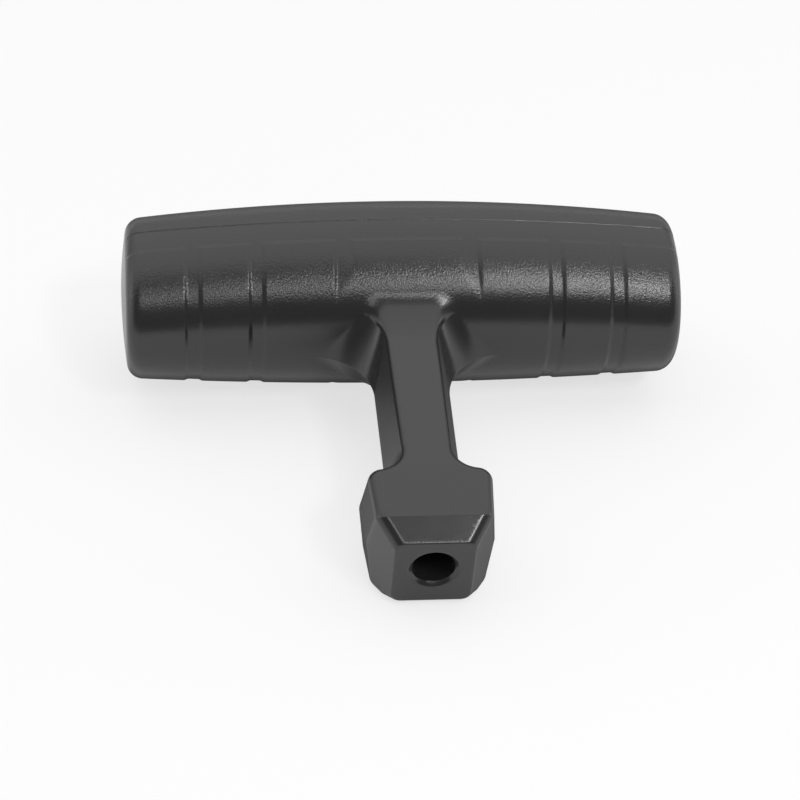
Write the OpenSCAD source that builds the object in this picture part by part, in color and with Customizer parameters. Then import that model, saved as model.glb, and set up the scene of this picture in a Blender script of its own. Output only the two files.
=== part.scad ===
// Starter handle: the T-shaped pull grip on the rope of a small engine.
// It is moulded in one piece: a crowned grip with shallow finger pads, a tapered
// stem and a bevelled foot. The rope runs through the stem, and its knot sits in
// a pocket in the palm side.
// X runs along the grip, the foot points to -Y, and the handle lies as it comes
// to rest: on the grip's lower side and the lower edge of the foot.

/* [Grip] */
// Length of the grip, end to end
grip_length = 90; // [84:1:120]
// From the grip's axis to its finger side, at the middle
finger_depth = 15.5; // [14:0.1:19]
// From the grip's axis to its palm side, at the middle
palm_depth = 13.1; // [12:0.1:16]
// Height of the grip at the middle, across the parting plane
grip_height = 29.5; // [26:0.1:36]
// How much the finger side falls back at the ends
finger_crown = 0.3; // [0:0.1:3]
// How much the palm side falls back at the ends
palm_crown = 2.7; // [0:0.1:4]
// How much the upper and lower sides each fall at the ends
height_crown = 2.7; // [0:0.1:4]
// Radius round the edge of each end
end_radius = 2.6; // [1:0.1:4]
// How far the middle of each end bulges past its rounded edge
end_bulge = 0.7; // [0.2:0.1:2]
// Height of the step between the palm half and the finger half of the mould
mould_step = 0.12; // [0.05:0.01:0.3]

/* [Finger pads] */
// How far the pads stand out of the grip
pad_height = 0.25; // [0.1:0.05:0.8]
// From the grip's axis plane to the edge of the pads, towards the fingers
pad_edge = 4; // [2:0.1:8]
// Width of the slope at the edges of the pads
pad_slope = 0.5; // [0.2:0.05:0.8]
// Width of the middle pad, which carries the stem
middle_pad = 17.5; // [14:0.1:20]
// Width of the groove beside the middle pad
inner_groove = 2.7; // [1.5:0.1:4]
// Width of the pad after that groove
second_pad = 11.2; // [8:0.1:12]
// Width of the next groove
second_groove = 2.2; // [1.5:0.1:4]
// Width of the pad after that
third_pad = 7.7; // [5:0.1:9]
// Width of the groove beside the end pad
outer_groove = 2.3; // [1.5:0.1:4]

/* [Stem] */
// Thickness of the stem where it leaves the grip
stem_thickness = 16.2; // [13:0.1:19]
// Thickness at the crease between stem and foot
neck_thickness = 16.5; // [13:0.1:19]
// Width of the stem's flat face at the grip
root_face = 7.7; // [6:0.1:10]
// Width of the stem's flat face at the foot
neck_face = 7.2; // [6:0.1:10]
// Lean of the stem's flanks and the foot's back, away from the parting plane
flank_draft = 15; // [5:1:20]
// Fillet at the stem's root, along its flanks
root_fillet = 9.2; // [6:0.1:11]
// The same fillet at the flat faces
face_fillet = 4; // [1.5:0.1:8]
// Radius between the stem and the back of the foot, at the flat faces
neck_fillet = 4.3; // [3:0.1:6]
// The same radius at the parting plane
neck_middle_fillet = 3; // [2:0.1:5]
// Radius along the long edges of the stem
edge_radius = 1.1; // [0.6:0.1:1.6]

/* [Foot] */
// From the grip's axis to the back of the foot
foot_start = 47.1; // [40:0.1:60]
// Length of the foot
foot_length = 13.1; // [11:0.1:20]
// Width of the foot's upper and lower faces, at the back corners
foot_face = 18.2; // [15:0.1:22]
// Thickness of the foot where its end bevels start
foot_thickness = 16; // [14:0.1:19]
// Lean of the foot's sides, away from the parting plane
foot_draft = 6.8; // [3:0.1:14]
// Lean of the foot's sides towards the end
foot_taper = 4.5; // [0:0.5:8]
// Radius of the foot's back corners, at the flat faces
foot_corner = 2.1; // [1:0.1:4]
// The same radius at the parting plane
foot_middle_corner = 3.5; // [2:0.1:5]
// Radius along the long edges of the foot
foot_edge = 1.5; // [0.8:0.1:2]
// Width of the flat end
end_width = 11.8; // [10.5:0.1:14]
// From the parting plane to the upper edge of the flat end
end_above = 6.1; // [5.3:0.1:6.6]
// From the parting plane to the lower edge of the flat end
end_below = 6.9; // [5.3:0.1:6.9]
// Length of the upper end bevel
upper_bevel = 3.5; // [2.5:0.1:5]
// Length of the lower end bevel
lower_bevel = 2; // [1:0.1:2.2]
// Angle of the side bevels, from the stem's axis
side_bevel = 34; // [25:1:50]
// Radius between the foot's sides and its side bevels
bevel_radius = 2; // [1.8:0.1:3]
// Size of the small chamfer round the flat end
end_chamfer = 0.35; // [0.1:0.05:0.6]

/* [Rope hole and knot pocket] */
// Diameter of the rope hole
hole_d = 6.5; // [4:0.1:8]
// Depth of the countersink round the hole's mouth
countersink = 0.6; // [0.2:0.1:1.2]
// Length of the pocket's floor, along the grip
pocket_length = 18; // [14:0.5:24]
// Width of the pocket's floor
pocket_width = 11; // [9:0.5:12]
// Depth of the pocket under the palm side
pocket_depth = 14; // [10:0.5:18]
// Lean of the pocket's walls
pocket_draft = 3; // [1:0.5:5]
// Radius round the pocket's rim
pocket_rim = 1.2; // [0.6:0.1:2]

/* [Hidden] */
$fn = 64;

black = [0.11, 0.11, 0.115];
half_length = grip_length / 2;
half_height = grip_height / 2;
foot_end = foot_start + foot_length;
bevel_start = foot_end - upper_bevel;
lower_bevel_start = foot_end - lower_bevel;

// Steps round the grip's section and along each round edge
finger_steps = 24;
palm_steps = 28;
end_steps = 5;
bulge_steps = 3;
fillet_steps = 8;
corner_steps = 5;
edge_steps = 4;
flank_steps = 4;
bevel_steps = 8;
rim_steps = 5;
pocket_steps = 48;

// How far the stem's root fillet dips into the grip, and how deep the stem reaches into it
fillet_sink = 0.08;
root_depth = 6;
// How many times the fillet's reach up the grip is worked out again
reach_tries = 12;
// How far before the end bevels the foot's sides may start to turn
bevel_reach = 3.2;
// What a cut runs past the surface that it opens
clear = 1;

// A point of the handle: x along the grip, s towards the foot, t up from the parting plane
function place(x, s, t) = [x, -s, t];

// The grip's half-sizes at x, each with its crown
function crown(x) = pow(x / half_length, 2);
function finger_at(x) = finger_depth - finger_crown * crown(x);
function palm_at(x) = palm_depth - palm_crown * crown(x);
function height_at(x) = half_height - height_crown * crown(x);

// A closed skin over rings of points, all of one length, with a point in the middle of each end
function skin_faces(rings, sides) = concat(
    [for (i = [0:sides - 1]) [rings * sides, i, (i + 1) % sides]],
    [for (r = [0:rings - 2], i = [0:sides - 1], half = [0, 1])
        let(a = r * sides + i, b = r * sides + (i + 1) % sides)
        half == 0 ? [a, a + sides, b] : [b, a + sides, b + sides]],
    [for (i = [0:sides - 1]) let(last = (rings - 1) * sides)
        [rings * sides + 1, last + (i + 1) % sides, last + i]]);

module skin(rings, first_middle, last_middle) {
    sides = len(rings[0]);
    points = [for (ring = rings, point = ring) point];
    polyhedron(concat(points, [first_middle, last_middle]),
        skin_faces(len(rings), sides), convexity = 6);
}

// The grip's stations from the middle to one end: [x, inset from the section, pad height]
groove_list = [
    [middle_pad / 2, inner_groove],
    [middle_pad / 2 + inner_groove + second_pad, second_groove],
    [middle_pad / 2 + inner_groove + second_pad + second_groove + third_pad, outer_groove]];
rim_slope = atan(2 * end_bulge / (half_height - height_crown - end_radius));
rim_start = half_length - end_bulge - end_radius * cos(rim_slope);
rim_inset = end_radius * (1 - sin(rim_slope));
function groove_stations(start, width) = [
    [start - pad_slope / 2, 0, pad_height], [start + pad_slope / 2, 0, 0],
    [start + width - pad_slope / 2, 0, 0], [start + width + pad_slope / 2, 0, pad_height]];
rim_stations = [for (i = [0:end_steps]) let(a = i / end_steps * (90 - rim_slope))
    [rim_start + end_radius * sin(a), end_radius * (1 - cos(a)), pad_height]];
half_stations = concat(
    [for (g = groove_list, station = groove_stations(g[0], g[1])) station],
    rim_stations);

// One section of the grip. The pads cover the finger side between their edges.
function section(x, inset, pad, share) =
    let(a = finger_at(x) - inset, p = palm_at(x) - inset, b = height_at(x) - inset)
    let(edge = asin(pad_edge / a), slope = asin((pad_edge - pad_slope) / a))
    let(angles = concat([0, slope],
        [for (i = [0:finger_steps]) edge + (180 - 2 * edge) * i / finger_steps],
        [180 - slope, 180]))
    concat(
        [for (g = angles) let(h = g >= edge && g <= 180 - edge ? pad : 0)
            place(x, share * (a + h) * sin(g), share * (b + h) * cos(g))],
        [for (i = [0:palm_steps]) let(g = 180 + 180 * i / palm_steps)
            place(x, share * (p + mould_step) * sin(g), share * (b + mould_step) * cos(g))]);

// The bulged middle of an end, from its rim towards the axis
bulge_shares = [for (i = [1:bulge_steps]) 1 - i / (bulge_steps + 1)];
function bulge(side) = [for (share = bulge_shares)
    section(side * (half_length - end_bulge * share * share), rim_inset, pad_height, share)];

module grip() {
    right = [for (st = half_stations) section(st[0], st[1], st[2], 1)];
    left = [for (i = [len(half_stations) - 1:-1:0]) let(st = half_stations[i])
        section(-st[0], st[1], st[2], 1)];
    left_end = bulge(-1);
    skin(concat([for (i = [bulge_steps - 1:-1:0]) left_end[i]], left,
        [section(0, 0, pad_height, 1)], right, bulge(1)),
        place(-half_length, 0, 0), place(half_length, 0, 0));
}

// Levels of the stem and the foot, from a flat face to the parting plane: [share of the way
// from the round edge to the plane, drop on the round, inset there, how far the root fillet
// leans up], the drop and the inset for a radius of 1
edge_levels = [for (i = [0:edge_steps - 1]) let(angle = (90 - flank_draft) * i / edge_steps)
    [0, 1 - cos(angle), 1 / cos(flank_draft) - cos(angle) * tan(flank_draft) - sin(angle),
        90 * (1 - i / edge_steps)]];
flank_levels = [for (i = [0:flank_steps]) [i / flank_steps, 1 - sin(flank_draft), 0, 0]];
levels = concat(edge_levels, flank_levels);
function level_drop(level, radius, high) =
    level[1] * radius + level[0] * (high - flank_levels[0][1] * radius);

// Where the finger side of the grip lies at height t and how steeply it falls back there
front_depth = finger_depth + pad_height;
front_height = half_height + pad_height;
function grip_front(t) = front_depth * sqrt(1 - pow(t / front_height, 2)) - fillet_sink;
function front_fall(t) = pow(front_depth / front_height, 2) * t
    / (front_depth * sqrt(1 - pow(t / front_height, 2)));

// How far out the root fillet that leaves the stem at height t meets the grip, when it leans
// up by the given angle: each try closes in on the point where both have the same slope
function root_reach(t, up, radius, reach, tries) =
    let(fall = front_fall(t + reach * sin(up)) * sin(up))
    let(next = radius * (1 - fall / norm([1, fall])))
    tries < 1 ? next : root_reach(t, up, radius, (reach + next) / 2, tries - 1);

// Its points as [out along x, s, up along t], from the grip to the stem
function root_points(t, up) =
    let(r = root_fillet + (face_fillet - root_fillet) * up / 90)
    let(reach = root_reach(t, up, r, 0, reach_tries), first = asin(1 - reach / r))
    let(middle = grip_front(t + reach * sin(up)) + r * cos(first))
    [for (i = [0:fillet_steps]) let(a = first + (90 - first) * i / fillet_steps)
        let(out = r * (1 - sin(a)))
        [out * cos(up), middle - r * cos(a), out * sin(up)]];

// The stem's half-sizes at s
function blend(s, s0, s1, a, b) = a + (b - a) * min(1, max(0, (s - s0) / (s1 - s0)));
function half_thickness(s, bevel_from, edge) =
    s < foot_start ? blend(s, finger_depth, foot_start, stem_thickness, neck_thickness) / 2 :
    s < bevel_from ? blend(s, foot_start, bevel_from, neck_thickness, foot_thickness) / 2 :
    blend(s, bevel_from, foot_end, foot_thickness / 2, edge);

// The outline of the stem and the foot at one level, as [x, s, rise] from the grip to the
// end, with the given radius on the long edges
function outline(level, radius) =
    let(drop = level_drop(level, radius, stem_thickness / 2), inset = level[2] * radius)
    let(t = stem_thickness / 2 - drop, share = t * 2 / stem_thickness)
    let(root = root_points(t, level[3]), half = root_face / 2 + drop * tan(flank_draft))
    let(rn = neck_middle_fillet + (neck_fillet - neck_middle_fillet) * share)
    let(rc = foot_middle_corner + (foot_corner - foot_middle_corner) * share)
    let(lean = drop * tan(flank_draft), back = foot_start - lean)
    let(n = neck_face / 2 + lean)
    let(side = foot_face / 2 + drop * tan(foot_draft))
    let(turn = acos(max(0, 1 - (side - n) / (rn + rc))), middle = back + rc * sin(turn))
    concat(
        [[half - inset + root[0][0], root_depth, root[0][2]]],
        [for (p = root) [half - inset + p[0], p[1], p[2]]],
        [for (i = [0:fillet_steps]) let(a = turn * i / fillet_steps)
            [n + rn - (rn + inset) * cos(a), back - rn * sin(turn) + (rn + inset) * sin(a), 0]],
        [for (i = [1:corner_steps]) let(a = turn - (turn + foot_taper) * i / corner_steps)
            [side - rc + (rc - inset) * cos(a), middle - (rc - inset) * sin(a), 0]],
        [for (s = end_stations)
            [foot_side(s, side - rc + (rc - inset) / cos(foot_taper), middle, inset), s, 0]]);

// The foot's side at s: leaning from x at the given start, then round, then a side bevel
function foot_side(s, x, start, inset) =
    let(r = bevel_radius - inset, t = tan(foot_taper), b = tan(side_bevel))
    let(end_x = end_width / 2 - inset / cos(side_bevel))
    let(meet = (end_x + foot_end * b - x - start * t) / (b - t))
    let(reach = r * tan((side_bevel - foot_taper) / 2))
    let(from = meet - reach * cos(foot_taper), to = meet + reach * cos(side_bevel))
    let(across = from - r * sin(foot_taper))
    s < from ? x - (s - start) * t :
    s < to ? x - (from - start) * t - r * cos(foot_taper) + sqrt(r * r - pow(s - across, 2)) :
    end_x + (foot_end - s) * b;
end_stations = concat(
    [for (i = [0:bevel_steps]) bevel_start - bevel_reach * (1 - i / bevel_steps)],
    [(bevel_start + lower_bevel_start) / 2, lower_bevel_start, foot_end - end_chamfer]);

// How far a station's edge has changed from the stem's radius to the foot's
function foot_share(k) = min(1, max(0, (k - fillet_steps - 2) / fillet_steps));
function stem_line(level) =
    let(a = outline(level, edge_radius), b = outline(level, foot_edge))
    [for (k = [0:len(a) - 1]) a[k] + (b[k] - a[k]) * foot_share(k)];

module stem_and_foot() {
    lines = [for (level = levels) stem_line(level)];
    stations = len(lines[0]);
    rings = [for (k = [0:stations - 1]) ring(lines, k, 0)];
    skin(concat(rings, [ring(lines, stations - 1, end_chamfer)]),
        place(0, root_depth, 0), place(0, foot_end, 0));
}

// One ring of the stem: down the left side, then up the right. chamfer moves it to the end.
function ring(lines, k, chamfer) =
    let(s = lines[0][k][1], last = len(levels) - 1)
    let(radius = edge_radius + (foot_edge - edge_radius) * foot_share(k))
    let(high = half_thickness(s, bevel_start, end_above) - chamfer)
    let(low = half_thickness(s, lower_bevel_start, end_below) - chamfer)
    let(half = [for (line = lines) [line[k][0] - chamfer, line[k][1] + chamfer]])
    let(rise = [for (line = lines) line[k][2]])
    let(up = [for (j = [0:last]) high + rise[j] - level_drop(levels[j], radius, high)])
    let(down = [for (j = [0:last]) level_drop(levels[j], radius, low) - low - rise[j]])
    concat(
        [for (j = [0:last]) place(-half[j][0], half[j][1], up[j])],
        [for (j = [last - 1:-1:0]) place(-half[j][0], half[j][1], down[j])],
        [for (j = [0:last]) place(half[j][0], half[j][1], down[j])],
        [for (j = [last - 1:-1:0]) place(half[j][0], half[j][1], up[j])]);

// The knot pocket as a solid to cut: its rim is round and follows the palm side
pocket_floor = palm_depth - pocket_depth;
function palm_surface(x, t) = (palm_at(x) + mould_step)
    * sqrt(1 - pow(t / (height_at(x) + mould_step), 2));
function pocket_point(angle, grow) =
    let(r = pocket_width / 2 + grow, arm = (pocket_length - pocket_width) / 2)
    [r * cos(angle) + (cos(angle) > 0 ? arm : -arm), r * sin(angle)];
function wall_grow(depth) = (pocket_depth - depth) * tan(pocket_draft);
module pocket() {
    angles = [for (i = [0:pocket_steps - 1]) -360 * (i + 0.5) / pocket_steps];
    floor_ring = [for (a = angles) let(p = pocket_point(a, 0)) place(p[0], -pocket_floor, p[1])];
    rim = [for (i = [0:rim_steps]) let(b = 90 * i / rim_steps) [for (a = angles)
        let(p = pocket_point(a, wall_grow(pocket_rim) + pocket_rim * (1 - cos(b))))
        let(depth = pocket_rim * (1 - sin(b)))
        place(p[0], -palm_surface(p[0], p[1]) + depth, p[1])]];
    mouth = [for (a = angles) let(p = pocket_point(a, wall_grow(pocket_rim) + pocket_rim))
        place(p[0], -palm_depth - clear, p[1])];
    skin(concat([floor_ring], rim, [mouth]),
        place(0, -pocket_floor, 0), place(0, -palm_depth - clear, 0));
}

// The rope hole from the pocket's floor through the foot, with its countersink
module rope_hole() {
    translate(place(0, foot_end + clear, 0)) rotate([-90, 0, 0])
        cylinder(d = hole_d, h = foot_end + pocket_floor + 2 * clear);
    translate(place(0, foot_end + clear, 0)) rotate([-90, 0, 0])
        cylinder(r1 = hole_d / 2 + countersink + clear, r2 = hole_d / 2,
            h = countersink + clear);
}

// The tilt at which the grip and the foot's lower edge both touch the ground
pad_low = (half_height + pad_height) * sqrt(1 - pow(pad_edge / (finger_depth + pad_height), 2));
tilt = atan((pad_low - foot_thickness / 2) / (lower_bevel_start - pad_edge));
lift = pad_edge * sin(tilt) + pad_low * cos(tilt);
front_reach = foot_end * cos(tilt) + end_above * sin(tilt);
palm_reach = norm([palm_depth * cos(tilt), half_height * sin(tilt)]);

module starter_handle() {
    color(black)
    translate([0, (front_reach - palm_reach) / 2, lift]) rotate([tilt, 0, 0])
    difference() {
        union() {
            grip();
            stem_and_foot();
        }
        pocket();
        rope_hole();
    }
}

starter_handle();
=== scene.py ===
"""Starter handle, dressed for its portrait.

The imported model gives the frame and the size. The handle's own skin is worked out
here from its sizes: one smooth form, meshed finely enough for its pads, mould lines
and soft edges, in the black grained plastic that it is moulded in.
"""

import math
import bpy
import numpy as np
from bpy.props import FloatProperty, FloatVectorProperty, PointerProperty
from mathutils import Matrix, Vector


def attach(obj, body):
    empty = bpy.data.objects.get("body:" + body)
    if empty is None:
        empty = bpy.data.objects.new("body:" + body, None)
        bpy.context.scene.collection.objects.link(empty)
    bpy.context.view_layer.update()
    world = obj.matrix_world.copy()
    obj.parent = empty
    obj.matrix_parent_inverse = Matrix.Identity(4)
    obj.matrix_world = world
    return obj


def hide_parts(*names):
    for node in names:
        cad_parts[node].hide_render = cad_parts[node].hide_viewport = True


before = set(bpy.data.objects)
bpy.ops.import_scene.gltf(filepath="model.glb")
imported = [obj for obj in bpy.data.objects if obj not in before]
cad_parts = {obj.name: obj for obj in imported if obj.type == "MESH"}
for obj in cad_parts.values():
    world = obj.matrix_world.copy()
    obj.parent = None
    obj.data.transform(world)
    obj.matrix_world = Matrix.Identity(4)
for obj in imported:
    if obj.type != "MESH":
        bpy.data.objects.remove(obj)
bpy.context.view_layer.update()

bl_info = {
    "name": "Starter Handle",
    "version": (1, 0, 0),
    "blender": (4, 5, 0),
    "location": "View3D > Sidebar > Handle",
    "description": "Builds a moulded starter handle, its plastic and a plain studio",
    "category": "Object",
}

MM = 0.001
WHITE = (1, 1, 1, 1)


def size(name, description, millimetres):
    """A length property, given in millimetres."""
    return FloatProperty(name=name, description=description, default=millimetres * MM,
                         unit="LENGTH", precision=5)


def angle(name, description, degrees):
    """An angle property, given in degrees."""
    return FloatProperty(name=name, description=description, default=math.radians(degrees),
                         unit="ROTATION")


def share(name, description, value):
    """A property from 0 to 1."""
    return FloatProperty(name=name, description=description, default=value, min=0, max=1,
                         subtype="FACTOR")


def level(name, description, value):
    """A brightness property, where 1 is white."""
    return FloatProperty(name=name, description=description, default=value, min=0)


def tint(name, description, colour):
    """A colour property."""
    return FloatVectorProperty(name=name, description=description, default=colour,
                               subtype="COLOR", min=0, max=1)


# Sizes and colours

class GripSizes(bpy.types.PropertyGroup):
    """Sizes of the grip, without its pads"""
    length: size("Length", "Length of the grip", 90)
    finger_depth: size("Finger depth", "From the axis to the finger side", 15.5)
    palm_depth: size("Palm depth", "From the axis to the palm side", 13.1)
    height: size("Height", "Height across the parting plane", 29.5)
    finger_crown: size("Finger crown", "How far the finger side falls at the ends", 0.3)
    palm_crown: size("Palm crown", "How far the palm side falls at the ends", 2.7)
    height_crown: size("Height crown", "How far the other sides fall at the ends", 2.7)
    end_radius: size("End radius", "Radius round the edge of each end", 2.6)
    end_bulge: size("End bulge", "How far the middle of each end bulges", 0.7)
    mould_step: size("Mould step", "Step between the two halves of the mould", 0.12)
    step_width: size("Step width", "Width of that step", 0.2)


class PadSizes(bpy.types.PropertyGroup):
    """Sizes of the finger pads and the grooves between them"""
    height: size("Height", "How far the pads stand out", 0.25)
    edge: size("Edge", "From the axis plane to the edge of the pads", 4)
    slope: size("Slope", "Width of the slope at the pads' edges", 0.8)
    middle: size("Middle pad", "Width of the pad that carries the stem", 17.5)
    inner_groove: size("Inner groove", "Width of the groove beside it", 2.7)
    second: size("Second pad", "Width of the next pad", 11.2)
    second_groove: size("Second groove", "Width of the next groove", 2.2)
    third: size("Third pad", "Width of the next pad", 7.7)
    outer_groove: size("Outer groove", "Width of the groove beside the end pad", 2.3)
    fade: size("Fade", "How far from the stem the grooves fade", 7.8)
    fade_width: size("Fade width", "Over what width they fade", 2)


class StemSizes(bpy.types.PropertyGroup):
    """Sizes of the stem and of its fillets at the grip and at the foot"""
    thickness: size("Thickness", "Thickness at the grip", 14.4)
    neck_thickness: size("Neck thickness", "Thickness at the foot", 16.5)
    root_face: size("Root face", "Width of the flat face at the grip", 7.7)
    neck_face: size("Neck face", "Width of the flat face at the foot", 7.2)
    draft: angle("Draft", "Lean of the flanks and the foot's back", 15)
    root_fillet: size("Root fillet", "Root fillet at the parting plane", 9.2)
    corner_fillet: size("Corner fillet", "The same fillet at the long edges", 4)
    face_fillet: size("Face fillet", "The same fillet at the flat faces", 9.5)
    neck_fillet: size("Neck fillet", "Radius at the foot's back, at the flat faces", 4.3)
    neck_middle: size("Neck fillet, middle", "The same at the parting plane", 3)
    edge: size("Edge", "Radius along the long edges", 1.1)


class FootSizes(bpy.types.PropertyGroup):
    """Sizes of the foot and of the bevels round its flat end"""
    start: size("Start", "From the axis to the back of the foot", 47.1)
    length: size("Length", "Length of the foot", 13.1)
    face: size("Face", "Width of the flat faces at the back corners", 18.2)
    thickness: size("Thickness", "Thickness where the end bevels start", 16)
    draft: angle("Draft", "Lean of the sides, away from the parting plane", 6.8)
    taper: angle("Taper", "Lean of the sides towards the end", 4.5)
    corner: size("Corner", "Radius of the back corners, at the flat faces", 2.1)
    corner_middle: size("Corner, middle", "The same at the parting plane", 3.5)
    edge: size("Edge", "Radius along the long edges", 1.5)
    end_width: size("End width", "Width of the flat end", 11.8)
    end_above: size("End above", "From the parting plane to the end's upper edge", 5.75)
    end_below: size("End below", "From the parting plane to the end's lower edge", 6.9)
    upper_bevel: size("Upper bevel", "Length of the upper end bevel", 3.5)
    lower_bevel: size("Lower bevel", "Length of the lower end bevel", 2)
    side_bevel: angle("Side bevel", "Angle of the side bevels", 34)
    bevel_radius: size("Bevel radius", "Radius between a side and its bevel", 2)
    crease: size("Crease", "Radius on the creases round the flat end", 0.4)


class HoleSizes(bpy.types.PropertyGroup):
    """Sizes of the rope hole and of the knot pocket behind it"""
    diameter: size("Diameter", "Diameter of the rope hole", 6.5)
    countersink: size("Countersink", "Depth of the countersink at its mouth", 0.6)
    lip: size("Lip", "Radius on the hole's lips", 0.15)
    pocket_length: size("Pocket length", "Length of the knot pocket's floor", 18)
    pocket_width: size("Pocket width", "Width of the knot pocket's floor", 11)
    pocket_depth: size("Pocket depth", "Depth of the knot pocket", 14)
    pocket_draft: angle("Pocket draft", "Lean of the pocket's walls", 3)
    pocket_rim: size("Pocket rim", "Radius round the pocket's rim", 1.2)
    pocket_corner: size("Pocket corner", "Radius round the pocket's floor", 0.8)


class PlasticLook(bpy.types.PropertyGroup):
    """Colours and gloss of the plastic"""
    colour: tint("Colour", "Black of the plastic", (0.02, 0.02, 0.0208))
    worn: tint("Worn edge", "Colour on rubbed edges", (0.045, 0.045, 0.046))
    roughness: share("Roughness", "Roughness of the moulded skin", 0.22)
    grazing: share("Rougher at a grazing angle", "How much roughness is added there", 0.6)
    grain: size("Grain", "Distance from grain to grain", 0.3)
    grain_depth: size("Grain depth", "Depth of the grain on the grip", 0.06)
    foot_grain: share("Grain on the foot", "Share of that depth on the stem and the foot", 0.12)


class StageLook(bpy.types.PropertyGroup):
    """Floor and light of the studio"""
    floor: tint("Floor", "Colour of the floor", (0.88, 0.88, 0.88))
    floor_size: size("Floor size", "Width of the floor", 4000)
    shadow: share("Shadow", "How much of the shadow the floor shows", 0.3)
    canopy: level("Canopy", "Brightness of the white canopy overhead", 1.22)
    canopy_edge: angle("Canopy edge", "Its front edge, up from the front horizon", 72)
    front: level("Front", "Brightness of the open front of the tent", 0.13)
    right_box: level("Right softbox", "Brightness of the small softbox to the right", 25.6)
    middle_box: level("Middle softbox", "Brightness of the softbox beside it", 9.2)
    left_box: level("Left softbox", "Brightness of the wide softbox to the left", 3.9)


GROUPS = {
    "handle_grip": GripSizes,
    "handle_pads": PadSizes,
    "handle_stem": StemSizes,
    "handle_foot": FootSizes,
    "handle_hole": HoleSizes,
    "handle_plastic": PlasticLook,
    "handle_stage": StageLook,
}


# The handle's form

# An end's dome has fallen by its whole bulge at its rim, which lies 2.2 mm inside a side that
# is about 12 mm out.
DOME_RIM = 1 - 2.2 / 12

NECK_FROM, NECK_TO = 43, 48     # from here to there the stem's edges turn into the foot's, in mm
DOME_RATE = 0.99                # keeps the distance to a domed end from growing too fast
END_COSINE = 0.2                # between the grip's side and the end's dome
FRONT_COSINE = 0.5              # between the foot's side and its flat end
STEEPEST_COSINE = 0.95          # the most that the root fillet is worked out with
LEAN_STEP = 0.05                # how far up and down the stem's lean is felt for, in mm
SLOPE_STEP = 0.02               # the same for the slope of the whole form, in mm
LEAST_RATE = 0.05               # slope, squared, that a settling point reckons with at least
LONGEST_MOVE = 0.4              # how far such a point may go in one round, in mm
TINY = 1e-9


def ramp(value):
    """0 below -0.5, 1 above 0.5 and smooth between."""
    part = np.clip(value + 0.5, 0, 1)
    return part * part * (3 - 2 * part)


def between(value, start, end, first, last):
    """From first to last while value goes from start to end."""
    return first + (last - first) * np.clip((value - start) / (end - start), 0, 1)


def round_corner(a, b, radius, cosine=0.0):
    """Inside both faces, with their outer corner rounded. Cosine: between their normals."""
    u, v = a + radius, b + radius
    arc = np.sqrt(np.maximum(u * u + v * v - 2 * cosine * u * v, 0) / (1 - cosine * cosine))
    on_arc = (u > cosine * v) & (v > cosine * u)
    return np.where(on_arc, arc - radius, np.maximum(a, b))


def hollow_corner(a, b, radius, cosine=0.0):
    """Inside either face, with their inner corner filled by a fillet."""
    return -round_corner(-a, -b, radius, cosine)


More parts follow.
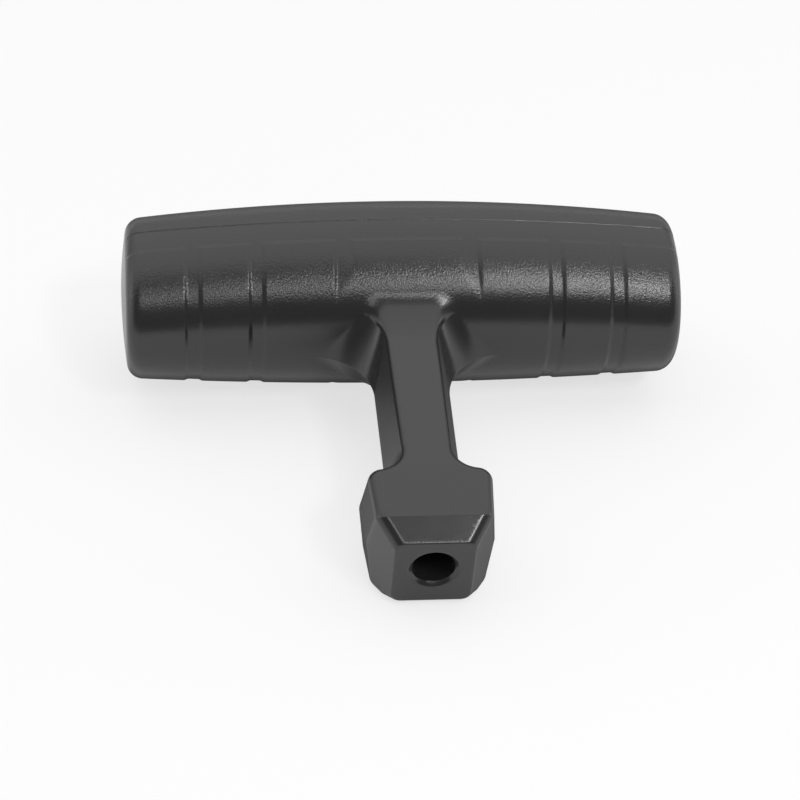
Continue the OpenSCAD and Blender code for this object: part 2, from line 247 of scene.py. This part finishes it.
class HandleForm:
    """The handle as a distance: below 0 inside, above 0 outside.

    It works in millimetres: x along the grip, s towards the foot, t up from the
    parting plane.
    """

    def __init__(self, scene):
        for prefix, group in GROUPS.items():
            if group not in (PlasticLook, StageLook):
                self.read(prefix.removeprefix("handle_"), getattr(scene, prefix), group)
        self.foot_end = self.foot_start + self.foot_length
        self.upper_bevel_start = self.foot_end - self.foot_upper_bevel
        self.lower_bevel_start = self.foot_end - self.foot_lower_bevel
        self.pocket_floor = self.hole_pocket_depth - self.grip_palm_depth
        self.grooves = self.groove_places()

    def read(self, name, values, group):
        """Keep each property as name_property, in millimetres or radians."""
        for key in group.__annotations__:
            value = getattr(values, key)
            is_angle = values.bl_rna.properties[key].unit == "ROTATION"
            setattr(self, f"{name}_{key}", value if is_angle else value / MM)

    def groove_places(self):
        """The middle and width of each groove, from the stem outwards."""
        places, edge = [], self.pads_middle / 2
        for groove, pad in ((self.pads_inner_groove, self.pads_second),
                            (self.pads_second_groove, self.pads_third),
                            (self.pads_outer_groove, 0)):
            places.append((edge + groove / 2, groove))
            edge += groove + pad
        return places

    def pad_cover(self, x, s, open_groove):
        """1 on the pads and 0 beside them. The grooves fade where they meet the stem."""
        cover = ramp((s - self.pads_edge) / self.pads_slope)
        for middle, width in self.grooves:
            cover = cover * (1 - open_groove * ramp(
                (width / 2 - np.abs(np.abs(x) - middle)) / self.pads_slope))
        return cover

    def crowned(self, x):
        """The grip's half-sizes at x: finger side, palm side and height."""
        crown = (x / (self.grip_length / 2)) ** 2
        return (self.grip_finger_depth - self.grip_finger_crown * crown,
                self.grip_palm_depth - self.grip_palm_crown * crown,
                self.grip_height / 2 - self.grip_height_crown * crown)

    def grip_lean(self, x, s, t):
        """How steeply the grip's finger side looks up or down: the sine of its lean."""
        finger, _, height = self.crowned(x)
        across, up = s / finger ** 2, t / height ** 2
        return up / np.sqrt(across ** 2 + up ** 2 + TINY)

    def grip(self, x, s, t, open_groove):
        """The grip: two half-ellipses, its pads, mould step and domed ends."""
        finger, palm, height = self.crowned(x)
        depth = np.where(s > 0, finger, palm)
        reach = np.sqrt((s / depth) ** 2 + (t / height) ** 2)
        slope = np.sqrt((s / depth ** 2) ** 2 + (t / height ** 2) ** 2) + TINY
        side = reach * (reach - 1) / slope
        side = side - self.pads_height * self.pad_cover(x, s, open_groove)
        side = side - self.grip_mould_step * ramp(-s / self.grip_step_width - 0.5)
        dome = self.grip_end_bulge * (reach / DOME_RIM) ** 2
        end = (np.abs(x) - self.grip_length / 2 + dome) * DOME_RATE
        return round_corner(side, end, self.grip_end_radius, END_COSINE)

    def stem_plan(self, x, s, t):
        """The plan of stem and foot at height t: flank, neck, corner and side."""
        x = np.abs(x)
        half = self.foot_thickness / 2
        fall = half - np.abs(t)
        drop = np.clip(fall, 0, half)
        rise = 1 - drop / half
        lean = drop * math.tan(self.stem_draft)
        slope = np.maximum(fall, -half) * math.tan(self.stem_draft)
        root_half = self.stem_root_face / 2 + slope
        neck_half = self.stem_neck_face / 2 + lean
        neck = between(rise, 0, 1, self.stem_neck_middle, self.stem_neck_fillet)
        corner = between(rise, 0, 1, self.foot_corner_middle, self.foot_corner)
        side_half = self.foot_face / 2 + drop * math.tan(self.foot_draft)
        back = self.foot_start - lean

        # The neck's hollow arc runs straight into the back corner's arc
        turn_cos = 1 - (side_half - neck_half) / (neck + corner)
        turn_sin = np.sqrt(np.maximum(1 - turn_cos ** 2, 0))
        neck_s = back - neck * turn_sin
        corner_s = back + corner * turn_sin
        neck_x = neck_half + neck
        corner_x = side_half - corner

        stem = x - between(s, self.grip_finger_depth, self.foot_start, root_half,
                           self.stem_neck_face / 2 + slope)

        in_neck = -turn_cos * (s - neck_s) - turn_sin * (x - neck_x) > 0
        hollow = neck - np.hypot(x - neck_x, s - neck_s)
        taper_cos, taper_sin = math.cos(self.foot_taper), math.sin(self.foot_taper)
        past_corner = (s - corner_s) * taper_cos - (x - corner_x) * taper_sin > 0
        bulge = np.hypot(x - corner_x, s - corner_s) - corner
        side = (x - corner_x) * taper_cos + (s - corner_s) * taper_sin - corner
        foot = np.where(in_neck, hollow, np.where(past_corner, side, bulge))

        bevel_cos, bevel_sin = math.cos(self.foot_side_bevel), math.sin(self.foot_side_bevel)
        bevel = (x - self.foot_end_width / 2) * bevel_cos + (s - self.foot_end) * bevel_sin
        foot = round_corner(foot, bevel, self.foot_bevel_radius,
                            math.cos(self.foot_side_bevel - self.foot_taper))
        return np.where(s < neck_s, stem, foot)

    def flat_face(self, s, t, bevel_start, end_half):
        """The flat face on the side of t and the end bevel that follows it."""
        half = self.foot_thickness / 2
        neck_half = self.stem_neck_thickness / 2
        thick = np.where(s < self.foot_start,
                         between(s, self.grip_finger_depth, self.foot_start,
                                 self.stem_thickness / 2, neck_half),
                         between(s, self.foot_start, bevel_start, neck_half, half))
        run, fall = self.foot_end - bevel_start, half - end_half
        length = math.hypot(run, fall)
        bevel = ((s - bevel_start) * fall + (t - half) * run) / length
        return round_corner(t - thick, bevel, self.foot_crease, run / length)

    def stem(self, x, s, t):
        """The stem and the foot, with their rounded edges."""
        plan = self.stem_plan(x, s, t) * between(
            s, NECK_FROM, NECK_TO, math.cos(self.stem_draft), math.cos(self.foot_draft))
        face = np.where(
            t > 0,
            self.flat_face(s, t, self.upper_bevel_start, self.foot_end_above),
            self.flat_face(s, -t, self.lower_bevel_start, self.foot_end_below))
        lean = between(
            s, NECK_FROM, NECK_TO, math.sin(self.stem_draft), math.sin(self.foot_draft))
        edge = between(s, NECK_FROM, NECK_TO, self.stem_edge, self.foot_edge)
        body = round_corner(plan, face, edge, lean)
        return round_corner(body, s - self.foot_end, self.foot_crease, FRONT_COSINE)

    def joined(self, x, s, t):
        """Grip and stem, with a fillet all round the stem's root."""
        stem = self.stem(x, s, t)
        height = np.abs(t)
        stem_rise = self.stem(x, s, height + LEAN_STEP) - self.stem(x, s, height - LEAN_STEP)
        stem_lean = np.clip(stem_rise / (2 * LEAN_STEP), 0, 1)
        flank_radius = between(height, 0, self.stem_thickness / 2,
                               self.stem_root_fillet, self.stem_corner_fillet)
        radius = between(stem_lean, math.sin(self.stem_draft), 1,
                         flank_radius, self.stem_face_fillet)
        cosine = np.clip(self.grip_lean(x, s, height) * stem_lean, 0, STEEPEST_COSINE)
        grip = self.grip(x, s, t, ramp((stem - self.pads_fade) / self.pads_fade_width))
        fillet = hollow_corner(grip, np.maximum(stem, -s), radius, cosine)
        return np.where(s > 0, fillet, grip)

    def pocket(self, x, s, t):
        """The knot pocket, open to the palm side."""
        width = self.hole_pocket_width / 2
        arm = self.hole_pocket_length / 2 - width
        wall = np.hypot(np.maximum(np.abs(x) - arm, 0), t) - width
        wall = wall - (self.pocket_floor - s) * math.tan(self.hole_pocket_draft)
        return round_corner(wall, s - self.pocket_floor, self.hole_pocket_corner)

    def rope_hole(self, x, s, t):
        """The rope hole and its countersink."""
        flare = np.maximum(s - self.foot_end + self.hole_countersink, 0)
        return np.hypot(x, t) - self.hole_diameter / 2 - flare

    def __call__(self, points):
        """The distance at each point."""
        x, s, t = points[:, 0], points[:, 1], points[:, 2]
        solid = self.joined(x, s, t)
        solid = round_corner(solid, -self.pocket(x, s, t), self.hole_pocket_rim)
        return round_corner(solid, -self.rope_hole(x, s, t), self.hole_lip)

    def slope(self, points):
        """The direction and rate at which the distance grows."""
        out = np.empty_like(points)
        for axis in range(3):
            shift = np.zeros(3)
            shift[axis] = SLOPE_STEP
            out[:, axis] = (self(points + shift) - self(points - shift)) / (2 * SLOPE_STEP)
        return out

    def normals(self, points):
        """That direction alone, of length 1."""
        slope = self.slope(points)
        return slope / np.linalg.norm(slope, axis=1)[:, None]

    def settle(self, points, rounds):
        """Move points onto the skin."""
        for _ in range(rounds):
            slope = self.slope(points)
            rate = np.maximum((slope ** 2).sum(1), LEAST_RATE)
            move = -(self(points) / rate)[:, None] * slope
            far = np.maximum(np.linalg.norm(move, axis=1) / LONGEST_MOVE, 1)
            points = points + move / far[:, None]
        return points

    def placing(self):
        """Tilt, forward shift and lift of the handle as it lies on the ground."""
        pad_low = (self.grip_height / 2 + self.pads_height) * math.sqrt(
            1 - (self.pads_edge / (self.grip_finger_depth + self.pads_height)) ** 2)
        tilt = math.atan((pad_low - self.foot_thickness / 2)
                         / (self.lower_bevel_start - self.pads_edge))
        front = self.foot_end * math.cos(tilt) + self.foot_end_above * math.sin(tilt)
        back = math.hypot(self.grip_palm_depth * math.cos(tilt),
                          self.grip_height / 2 * math.sin(tilt))
        lift = self.pads_edge * math.sin(tilt) + pad_low * math.cos(tilt)
        return tilt, (front - back) / 2, lift


# Meshing, in millimetres

GRID_LOW = np.array([-46.0, -14.5, -16.0])
GRID_HIGH = np.array([46.0, 61.5, 16.0])
CELL = 0.62
NET_ROUNDS = 4          # rounds in which the first mesh settles
SPLIT_TIMES = 4         # how often edges are halved
SPLIT_ROUNDS = 3        # rounds in which the new points settle
SPLIT_BEND = 0.085      # rise off the skin, as a share of its length, that halves an edge
SPLIT_SHORTEST = 0.16   # edges shorter than this stay whole

CORNERS = np.array([[i, j, k] for i in (0, 1) for j in (0, 1) for k in (0, 1)])
CELL_EDGES = [(a, b) for a in range(8) for b in range(a + 1, 8)
              if abs(CORNERS[a] - CORNERS[b]).sum() == 1]


def net_points(value, inside):
    """A point in each cell that the skin crosses, counted in cells, and the points' numbers."""
    counts = inside.shape
    total = sum(inside[i:counts[0] - 1 + i, j:counts[1] - 1 + j, k:counts[2] - 1 + k]
                .astype(int) for i, j, k in CORNERS)
    mixed = (total > 0) & (total < 8)
    index = np.full(mixed.shape, -1)
    index[mixed] = np.arange(mixed.sum())
    cells = np.argwhere(mixed)

    # A cell's point is the middle of the places where the skin cuts its edges
    summed, hits = np.zeros((len(cells), 3)), np.zeros(len(cells))
    for a, b in CELL_EDGES:
        start, end = cells + CORNERS[a], cells + CORNERS[b]
        first, last = value[tuple(start.T)], value[tuple(end.T)]
        cut = (first < 0) != (last < 0)
        part = (first / np.where(cut, first - last, 1))[:, None]
        summed[cut] += (start + part * (end - start))[cut]
        hits[cut] += 1
    return summed / hits[:, None], index


def net_quads(inside, index):
    """One quad round each grid edge that the skin cuts, turned to face outwards."""
    counts = inside.shape
    quads = []
    for axis in range(3):
        step, u, v = (np.eye(3, dtype=int)[(axis + turn) % 3] for turn in range(3))
        near = inside[:counts[0] - step[0], :counts[1] - step[1], :counts[2] - step[2]]
        far = inside[step[0]:, step[1]:, step[2]:]
        nodes = np.argwhere(near != far)
        corners = [nodes - u - v, nodes - v, nodes, nodes - u]
        quad = np.stack([index[tuple(c.T)] for c in corners], axis=1)
        turned = ~near[tuple(nodes.T)]
        quad[turned] = quad[turned][:, ::-1]
        quads.append(quad)
    return np.concatenate(quads)


def net_skin(form, low, high, cell):
    """A first mesh of the form: one point in each cell that the skin crosses."""
    counts = np.ceil((high - low) / cell).astype(int) + 1
    axes = [low[i] + cell * np.arange(counts[i]) for i in range(3)]
    grid = np.stack(np.meshgrid(*axes, indexing="ij"), axis=-1).reshape(-1, 3)
    value = form(grid).reshape(counts)
    inside = value < 0
    places, index = net_points(value, inside)
    points = low + cell * places
    quads = net_quads(inside, index)

    # Each quad is cut along its shorter diagonal
    p = points[quads]
    short = (np.linalg.norm(p[:, 0] - p[:, 2], axis=1)
             < np.linalg.norm(p[:, 1] - p[:, 3], axis=1))[:, None]
    one = np.where(short, quads[:, [0, 1, 2]], quads[:, [0, 1, 3]])
    two = np.where(short, quads[:, [0, 2, 3]], quads[:, [1, 2, 3]])
    return points, np.concatenate([one, two])


def split_sharp(form, points, faces, bend, shortest):
    """Halve the edges that leave the skin's direction, and settle the new points."""
    normals = form.normals(points)
    ends = np.sort(faces[:, [[0, 1], [1, 2], [2, 0]]].reshape(-1, 2), axis=1)
    edges, which = np.unique(ends, axis=0, return_inverse=True)
    along = points[edges[:, 1]] - points[edges[:, 0]]
    length = np.linalg.norm(along, axis=1)
    lift = np.maximum(abs((along * normals[edges[:, 0]]).sum(1)),
                      abs((along * normals[edges[:, 1]]).sum(1)))
    chosen = (lift > bend * length) & (length > shortest)
    middle = np.full(len(edges), -1)
    middle[chosen] = len(points) + np.arange(chosen.sum())
    added = form.settle(points[edges[chosen]].mean(1), SPLIT_ROUNDS)

    # Each face is cut by the middles of its own edges: none, one, two or all three
    mid = middle[which.reshape(-1, 3)]
    cut = mid >= 0
    count = cut.sum(1)
    parts = [faces[count == 0]]
    for turn in range(3):
        order = [turn, (turn + 1) % 3, (turn + 2) % 3]
        f, m, c = faces[:, order], mid[:, order], cut[:, order]
        one = (count == 1) & c[:, 0]
        parts += [np.stack([f[one, 0], m[one, 0], f[one, 2]], 1),
                  np.stack([m[one, 0], f[one, 1], f[one, 2]], 1)]
        two = (count == 2) & ~c[:, 2]
        parts += [np.stack([m[two, 0], f[two, 1], m[two, 1]], 1),
                  np.stack([f[two, 0], m[two, 0], m[two, 1]], 1),
                  np.stack([f[two, 0], m[two, 1], f[two, 2]], 1)]
    three = count == 3
    f, m = faces[three], mid[three]
    parts += [np.stack([f[:, 0], m[:, 0], m[:, 2]], 1),
              np.stack([m[:, 0], f[:, 1], m[:, 1]], 1),
              np.stack([m[:, 2], m[:, 1], f[:, 2]], 1),
              m]
    return np.concatenate([points, added]), np.concatenate(parts), len(added)


def handle_skin(form):
    """Points, faces and normals of the whole handle."""
    points, faces = net_skin(form, GRID_LOW, GRID_HIGH, CELL)
    points = form.settle(points, NET_ROUNDS)
    for _ in range(SPLIT_TIMES):
        points, faces, added = split_sharp(form, points, faces, SPLIT_BEND, SPLIT_SHORTEST)
        if added == 0:
            break
    return points, faces, form.normals(points)


# Shader writing

class Field:
    """A socket that takes part in sums: each operator adds its Math node."""

    def __init__(self, nodes, socket):
        self.nodes, self.socket = nodes, socket

    def math(self, operation, *values):
        return self.nodes.add("ShaderNodeMath", {"operation": operation},
                              dict(enumerate(values)))

    def __add__(self, other):
        return self.math("ADD", self, other)

    def __radd__(self, other):
        return self.math("ADD", other, self)

    def __sub__(self, other):
        return self.math("SUBTRACT", self, other)

    def __rsub__(self, other):
        return self.math("SUBTRACT", other, self)

    def __mul__(self, other):
        return self.math("MULTIPLY", self, other)

    def __rmul__(self, other):
        return self.math("MULTIPLY", other, self)

    def __abs__(self):
        return self.math("ABSOLUTE", self)


class Nodes:
    """The node tree of one material, or of the world."""

    def __init__(self, owner):
        owner.use_nodes = True
        self.tree = owner.node_tree
        self.tree.nodes.clear()

    def add(self, kind, settings=None, values=None, output=0):
        """One node with its settings and sockets, and one of its outputs as a Field."""
        node = self.tree.nodes.new(kind)
        for key, value in (settings or {}).items():
            if key == "stops":
                self.set_stops(node.color_ramp, value)
            else:
                setattr(node, key, value)
        for key, value in (values or {}).items():
            socket = node.inputs[key]
            if isinstance(value, Field):
                self.tree.links.new(value.socket, socket)
            else:
                socket.default_value = value
        return Field(self, node.outputs[output]) if len(node.outputs) else node

    @staticmethod
    def set_stops(color_ramp, stops):
        """Place a ramp's stops: (position, grey)."""
        elements = color_ramp.elements
        while len(elements) < len(stops):
            elements.new(0.5)
        for element, (place, grey) in zip(elements, stops):
            element.position = place
            element.color = (grey, grey, grey, 1)

    def mix(self, factor, first, last):
        """A colour between two."""
        return self.add("ShaderNodeMix", {"data_type": "RGBA"},
                        {0: factor, 6: first, 7: last}, output=2)

    def along(self, vector, axis):
        """One of a vector's three numbers."""
        return self.add("ShaderNodeSeparateXYZ", None, {"Vector": vector}, output=axis)

    def ease(self, value, start, end, first, last):
        """From first to last, smoothly, while value goes from start to end."""
        return self.add("ShaderNodeMapRange", {"interpolation_type": "SMOOTHSTEP"},
                        {"Value": value, "From Min": start, "From Max": end,
                         "To Min": first, "To Max": last})

    def noise(self, place, scale, detail, roughness=0.5):
        """Cloudy values round 0.5, with so many clouds to the metre."""
        return self.add("ShaderNodeTexNoise", None,
                        {"Vector": place, "Scale": scale, "Detail": detail,
                         "Roughness": roughness}, output="Fac")

    def fall(self, value, stops):
        """Greys that follow value from stop to stop."""
        return self.add("ShaderNodeValToRGB", {"stops": stops}, {"Fac": value})

    def ray(self, kind):
        """1 for one kind of ray and 0 for the others."""
        return self.add("ShaderNodeLightPath", output=f"Is {kind} Ray")


# The plastic. Clouds are counted to the metre, and places are in metres.

PLASTIC_IOR = 1.58
CLOUDS = 180.0                  # wide clouds in the gloss
RUBS = 900.0                    # patches in the wear along the edges
PATCHY_WEAR = 1.2               # how much of the wear comes and goes with them
EVEN_WEAR = 0.1                 # how much is the same all along an edge
CLOUD_GLOSS = 0.08              # how much roughness the clouds add or take away
GRAIN_GLOSS = 0.06              # how much the grain does
GRAZING = (0.53, 0.94)          # how far the skin turns away from the eye as it gets rougher
ENDS = (0.043, 0.0444)          # along x, where the grip's side turns into its smooth ends
GRIP_FRONT = (0.008, 0.0125)    # along y, where the stem's fine grain gives way to the grip's


def moulded_plastic(look):
    """Black plastic with a fine grain and rubbed edges, rougher at a grazing angle."""
    material = bpy.data.materials.new("moulded_black_plastic")
    nodes = Nodes(material)
    place = nodes.add("ShaderNodeTexCoord", output="Object")
    edge = nodes.add("ShaderNodeAttribute", {"attribute_name": "edge_wear"}, output="Fac")
    grain = nodes.noise(place, 1 / look.grain, detail=2.0, roughness=0.6)
    cloud = nodes.noise(place, CLOUDS, detail=4.0)
    rub = nodes.noise(place, RUBS, detail=3.0)
    wear = edge * (rub * PATCHY_WEAR + EVEN_WEAR)
    base = nodes.mix(wear, (*look.colour, 1), (*look.worn, 1))

    facing = nodes.add("ShaderNodeLayerWeight", None, {"Blend": 0.5}, output="Facing")
    grazing = nodes.ease(facing, *GRAZING, 0.0, look.grazing)
    off_ends = nodes.ease(abs(nodes.along(place, "X")), *ENDS, 1.0, 0.0)
    rough = (look.roughness + grazing * off_ends + (cloud - 0.5) * CLOUD_GLOSS
             + (grain - 0.5) * GRAIN_GLOSS)

    on_grip = nodes.ease(nodes.along(place, "Y"), *GRIP_FRONT, look.foot_grain, 1.0)
    bump = nodes.add("ShaderNodeBump", None,
                     {"Strength": 1.0, "Distance": look.grain_depth,
                      "Height": grain * on_grip}, output="Normal")
    shader = nodes.add("ShaderNodeBsdfPrincipled", None,
                       {"Base Color": base, "Roughness": rough, "Normal": bump,
                        "IOR": PLASTIC_IOR})
    nodes.add("ShaderNodeOutputMaterial", None, {"Surface": shader})
    return material


# The studio

GLOSSY_WHITE = 0.3      # how much plain white the floor shows in the gloss
CANOPY_BLEND = 0.008    # half the width of the canopy's front edge, as a share of a half turn

# Brightness by the share of the way from the front horizon, overhead, to the back horizon
CANOPY_FALL = ((0.72, 1), (0.86, 0.6), (1, 0.35))

# Brightness by the distance to the side, which is 1 at the side horizons
WINGS = ((0, 1), (0.5, 1), (0.85, 0.7), (1, 0.6))
SIDE_WALLS = ((0, 0), (0.7, 0), (0.9, 0.3), (0.97, 0.95))

# Each softbox: its brightness in the stage's look, the way to it, up from the front horizon
# and to the side, its height and width as it is seen, and its turn, all in degrees
SOFTBOXES = (
    ("softbox_right", "right_box", 57, 22, 7, 12, 30),
    ("softbox_middle", "middle_box", 48.5, 13, 8, 12, 20),
    ("softbox_left", "left_box", 48.5, -6, 9, 24, -15),
)
SOFTBOX_DISTANCE = 1.0

# The camera in the handle's own frame: x along the grip, y towards the palm, z up from the
# parting plane. The eye is in millimetres, and the angle, in degrees, is that of the view.
CAMERA_RIGHT = Vector((0.99409993, -0.08642645, 0.06554235))
CAMERA_UP = Vector((0.01598685, 0.71439966, 0.69955525))
CAMERA_BACK = Vector((-0.10728351, -0.69438001, 0.71156634))
CAMERA_EYE = Vector((-40.962, -278.383, 258.987))
CAMERA_ANGLE = 19.4114
HALF_PIXEL = 0.5 / 800  # as a share of the picture's width


def studio_floor(look):
    """White floor: bright to the eye and in the gloss, with the handle's soft shadow."""
    material = bpy.data.materials.new("studio_white")
    nodes = Nodes(material)
    paint = nodes.add("ShaderNodeBsdfDiffuse", None, {"Color": (*look.floor, 1)})
    glow = nodes.add("ShaderNodeEmission", None, {"Color": WHITE, "Strength": 1.0})
    seen = (nodes.ray("Camera") * (1 - look.shadow) + nodes.ray("Glossy") * GLOSSY_WHITE
            + nodes.ray("Transmission"))
    surface = nodes.add("ShaderNodeMixShader", None, {0: seen, 1: paint, 2: glow})
    nodes.add("ShaderNodeOutputMaterial", None, {"Surface": surface})
    return material


def tent_air(look):
    """The light tent: a white canopy overhead and behind, and an open, dark front."""
    world = bpy.data.worlds.new("tent_air")
    nodes = Nodes(world)
    way = nodes.add("ShaderNodeTexCoord", output="Generated")
    above = nodes.along(way, "Z")
    up_and_over = above.math("ARCTAN2", above, -1 * nodes.along(way, "Y"))
    edge = look.canopy_edge / math.pi
    stops = [(0, look.front), (edge - CANOPY_BLEND, look.front),
             (edge + CANOPY_BLEND, look.canopy),
             *((place, part * look.canopy) for place, part in CANOPY_FALL)]
    canopy = nodes.fall(up_and_over * (1 / math.pi), stops)
    aside = abs(nodes.along(way, "X"))
    light = canopy * nodes.fall(aside, WINGS) + nodes.fall(aside, SIDE_WALLS)
    air = nodes.add("ShaderNodeBackground", None,
                    {"Color": nodes.mix(nodes.ray("Camera"), light, WHITE),
                     "Strength": 1.0})
    nodes.add("ShaderNodeOutputWorld", None, {"Surface": air})
    return world


# Operators

EDGE_DEPTH = 0.6    # how far under the skin wear is felt for, in mm
EDGE_RISE = 0.25    # how much nearer than that the skin is where an edge is fully worn, in mm


class BuildHandle(bpy.types.Operator):
    """Build the whole handle, one moulding with its grip, stem and foot"""
    bl_idname = "handle.build_moulding"
    bl_label = "Moulded handle"

    def execute(self, context):
        form = HandleForm(context.scene)
        points, faces, normals = handle_skin(form)
        tilt, shift, lift = form.placing()
        placed = (self.turned(points, tilt) + [0, shift, lift]) * MM
        mesh = bpy.data.meshes.new("starter_handle_moulding")
        mesh.from_pydata(placed.tolist(), [], faces[:, ::-1].tolist())
        mesh.shade_smooth()
        mesh.normals_split_custom_set_from_vertices(self.turned(normals, tilt).tolist())
        wear = mesh.attributes.new("edge_wear", "FLOAT", "POINT")
        wear.data.foreach_set("value", self.exposure(form, points, normals))
        mesh.materials.append(moulded_plastic(context.scene.handle_plastic))
        piece = bpy.data.objects.new("starter_handle_moulding", mesh)
        context.scene.collection.objects.link(piece)
        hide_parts("starter_handle")
        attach(piece, "root")
        return {"FINISHED"}

    @staticmethod
    def turned(v, tilt):
        """Rows of x, s and t as x, y and z, with the foot tilted down to the ground."""
        cosine, sine = math.cos(tilt), math.sin(tilt)
        return np.stack([v[:, 0], -v[:, 1] * cosine - v[:, 2] * sine,
                         v[:, 2] * cosine - v[:, 1] * sine], axis=1)

    @staticmethod
    def exposure(form, points, normals):
        """How exposed each point is: 1 on a sharp outer edge, 0 on flats and in hollows."""
        rise = form(points - normals * EDGE_DEPTH) + EDGE_DEPTH
        return np.clip(rise / EDGE_RISE, 0, 1)


class BuildStage(bpy.types.Operator):
    """Lay out the floor, the lights and the camera"""
    bl_idname = "handle.build_stage"
    bl_label = "Studio"

    def execute(self, context):
        scene = context.scene
        look = scene.handle_stage
        self.lay_floor(scene, look)
        self.place_camera(scene)
        scene.world = tent_air(look)
        for name, bright, *place in SOFTBOXES:
            self.place_softbox(scene, name, getattr(look, bright), *place)
        scene.view_settings.view_transform = "Standard"
        return {"FINISHED"}

    @staticmethod
    def lay_floor(scene, look):
        """A wide flat floor at height 0."""
        half = look.floor_size / 2
        mesh = bpy.data.meshes.new("studio_floor")
        mesh.from_pydata([(-half, -half, 0), (half, -half, 0), (half, half, 0),
                          (-half, half, 0)], [], [(0, 1, 2, 3)])
        mesh.materials.append(studio_floor(look))
        floor = bpy.data.objects.new("studio_floor", mesh)
        scene.collection.objects.link(floor)

    @staticmethod
    def place_camera(scene):
        """The camera looks down on the handle from the foot's side."""
        tilt, shift, lift = HandleForm(scene).placing()
        lie = Matrix.Translation((0, shift * MM, lift * MM)) @ Matrix.Rotation(tilt, 4, "X")
        pose = Matrix((CAMERA_RIGHT, CAMERA_UP, CAMERA_BACK)).transposed().to_4x4()
        pose.translation = CAMERA_EYE * MM
        data = bpy.data.cameras.new("portrait_camera")
        data.sensor_fit = "HORIZONTAL"
        data.angle = math.radians(CAMERA_ANGLE)
        data.shift_x, data.shift_y = -HALF_PIXEL, HALF_PIXEL
        camera = bpy.data.objects.new("portrait_camera", data)
        camera.matrix_world = lie @ pose
        scene.collection.objects.link(camera)
        scene.camera = camera

    @staticmethod
    def place_softbox(scene, name, bright, front, side, tall, wide, turn):
        """A softbox up from the front horizon and to the side, aimed at the handle."""
        front, side, tall, wide, turn = map(math.radians, (front, side, tall, wide, turn))
        way = Vector((math.sin(side), -math.cos(side) * math.cos(front),
                      math.cos(side) * math.sin(front)))
        data = bpy.data.lights.new(name, "AREA")
        data.shape = "RECTANGLE"
        data.size = 2 * SOFTBOX_DISTANCE * math.tan(wide / 2)
        data.size_y = 2 * SOFTBOX_DISTANCE * math.tan(tall / 2)
        data.energy = bright * math.pi * data.size * data.size_y
        lamp = bpy.data.objects.new(name, data)
        aim = way.to_track_quat("Z", "Y").to_matrix().to_4x4()
        lamp.matrix_world = (Matrix.Translation(way * SOFTBOX_DISTANCE) @ aim
                             @ Matrix.Rotation(turn, 4, "Z"))
        scene.collection.objects.link(lamp)


class HandlePanel(bpy.types.Panel):
    """Lists the handle's builders and sizes"""
    bl_idname = "VIEW3D_PT_starter_handle"
    bl_label = "Starter Handle"
    bl_space_type = "VIEW_3D"
    bl_region_type = "UI"
    bl_category = "Handle"

    def draw(self, context):
        for operator in OPERATORS:
            self.layout.operator(operator.bl_idname)
        for name, group in GROUPS.items():
            box = self.layout.box()
            box.label(text=name.removeprefix("handle_").capitalize())
            for key in group.__annotations__:
                box.prop(getattr(context.scene, name), key)


OPERATORS = (BuildHandle, BuildStage)
CLASSES = (*GROUPS.values(), *OPERATORS, HandlePanel)


def register():
    for cls in CLASSES:
        bpy.utils.register_class(cls)
    for name, group in GROUPS.items():
        setattr(bpy.types.Scene, name, PointerProperty(type=group))


def unregister():
    for name in GROUPS:
        delattr(bpy.types.Scene, name)
    for cls in reversed(CLASSES):
        bpy.utils.unregister_class(cls)


def main():
    """Register, and build the handle and its stage."""
    register()
    bpy.ops.handle.build_moulding()
    bpy.ops.handle.build_stage()


if __name__ == "__main__":
    main()
